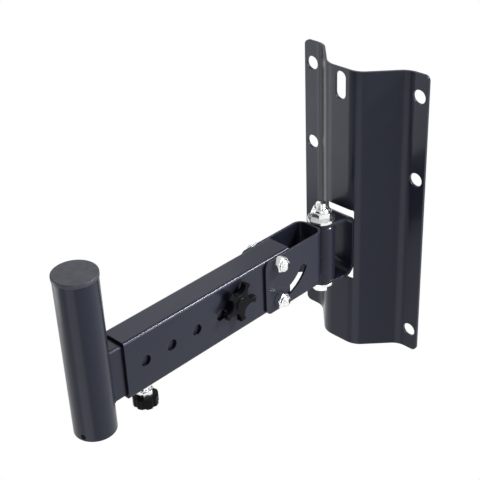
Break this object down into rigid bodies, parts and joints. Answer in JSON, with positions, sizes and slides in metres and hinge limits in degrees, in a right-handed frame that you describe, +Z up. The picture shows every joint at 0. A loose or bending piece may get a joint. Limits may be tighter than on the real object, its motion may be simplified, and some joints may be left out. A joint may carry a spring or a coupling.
{
  "type": "speaker wall bracket",
  "caption": "Wall bracket for a loudspeaker: folded wall plate, swivel hinge, tilting telescopic arm with hand screws, and an upright pole with a cap.",
  "frame": {"origin": "centre of the four corner screw holes, on the back face of the wall plate", "axes": "+X along the wall to the right as seen from the room, +Y into the wall, +Z up; the arm points to -Y"},
  "size_m": [0.138, 0.3474, 0.282],
  "materials": {
    "powder_coat": "satin black powder coat",
    "powder_coat_arm": "satin black powder coat",
    "powder_coat_pole": "satin black powder coat",
    "zinc": "bright zinc plate",
    "nut_ring": "plain moulded",
    "thrust": "plain moulded",
    "knob": "glossy black moulding",
    "cap": "fine-textured black moulding"
  },
  "bodies": {
    "wall_side": {"wall_plate": "powder_coat", "hinge_bracket": "powder_coat", "thrust_washers": "thrust", "hinge_washers": "zinc", "hinge_bolt": "zinc", "hinge_nut": "zinc", "hinge_nut_insert": "nut_ring"},
    "swivel_side": {"hinge_barrel": "powder_coat", "yoke": "powder_coat", "pivot_bolt": "zinc", "pivot_nut": "zinc", "pivot_nut_insert": "nut_ring"},
    "arm": {"outer_tube": "powder_coat_arm", "tilt_bolt": "zinc", "tilt_nut": "zinc", "tilt_nut_insert": "nut_ring", "lock_press_nut": "zinc", "clamp_weld_nut": "zinc"},
    "slide_side": {"inner_tube": "powder_coat_arm", "pole_tube": "powder_coat_pole", "pole_cap": "cap"},
    "lock": {"lock_screw": "zinc", "lock_knob": "knob"},
    "clamp": {"clamp_screw": "zinc", "clamp_jam_nut": "zinc", "clamp_knob": "knob"}
  },
  "joints": [
    {"name": "swivel", "type": "hinge", "parent": "wall_side", "child": "swivel_side", "pos_m": [0, -0.0594, 0], "axis": [0, 0, 1], "range_deg": [-75, 75]},
    {"name": "tilt", "type": "hinge", "parent": "swivel_side", "child": "arm", "pos_m": [0, -0.1314, -0.0022], "axis": [1, 0, 0], "range_deg": [0, 56]},
    {"name": "telescope", "type": "slide", "parent": "arm", "child": "slide_side", "axis": [0, -1, 0], "range_m": [0, 0.1104]},
    {"name": "lock_turn", "type": "hinge", "parent": "arm", "child": "lock", "pos_m": [0.017, -0.1834, -0.0155], "axis": [1, 0, 0], "range_deg": [0, 360]},
    {"name": "clamp_turn", "type": "hinge", "parent": "arm", "child": "clamp", "pos_m": [0, -0.2774, -0.06], "axis": [0, 0, -1], "range_deg": [0, 360]}
  ]
}
